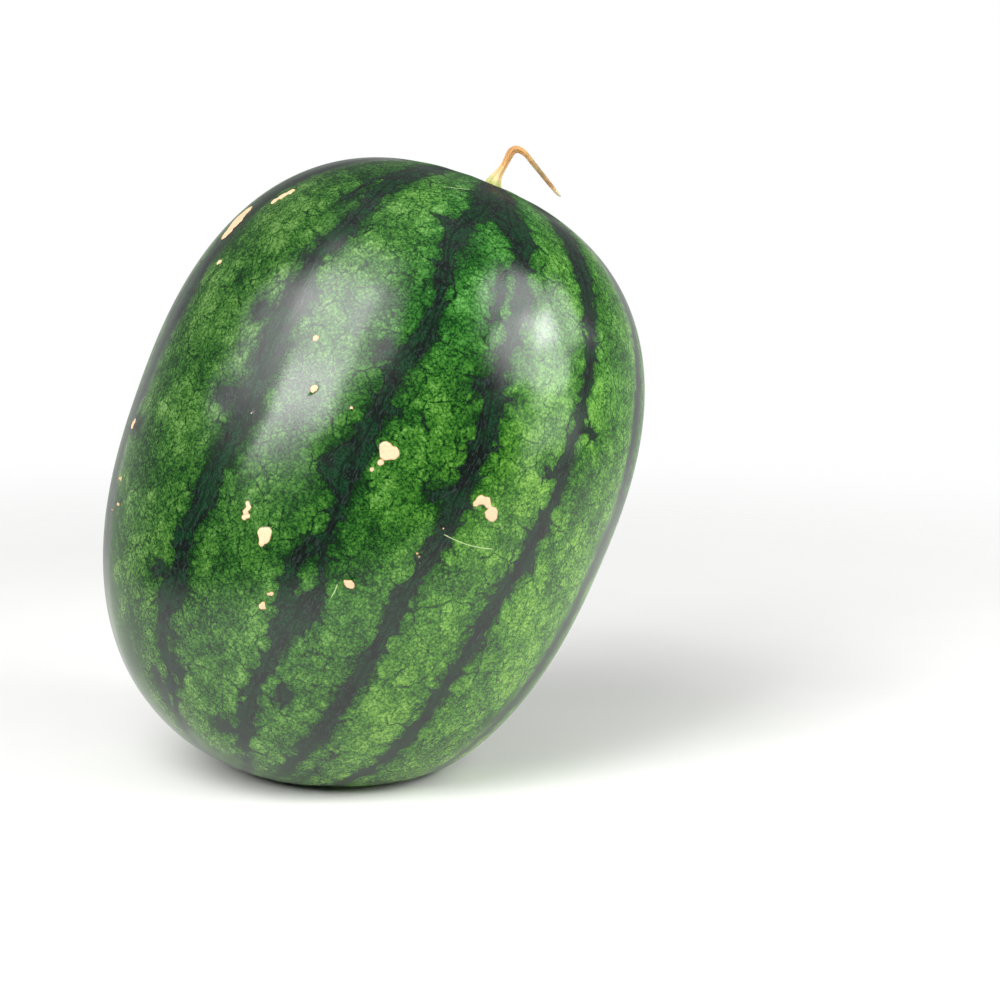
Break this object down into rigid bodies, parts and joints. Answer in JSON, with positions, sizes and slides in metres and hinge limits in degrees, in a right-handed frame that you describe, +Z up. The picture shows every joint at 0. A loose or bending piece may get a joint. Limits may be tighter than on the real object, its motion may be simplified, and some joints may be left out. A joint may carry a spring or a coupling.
{
  "type": "watermelon",
  "caption": "Whole striped watermelon with a short dried stem, leaning back and to the side on a soft flat of its underside.",
  "frame": {"origin": "middle of the flat on the underside, on the surface that the fruit rests on", "axes": "+Z up from the surface; the fruit leans right towards +X and back towards +Y; -Y is the front"},
  "size_m": [0.2267, 0.2131, 0.2581],
  "materials": {
    "rind": "smooth waxy melon skin: mid-green mottle between near-black green stripes, with small corky scars",
    "dried_stem": "dry fibrous stalk, straw to orange-brown, with a yellow-green foot and a pale cut tip"
  },
  "bodies": {
    "root": {"melon": "rind", "stem": "dried_stem"}
  },
  "joints": []
}
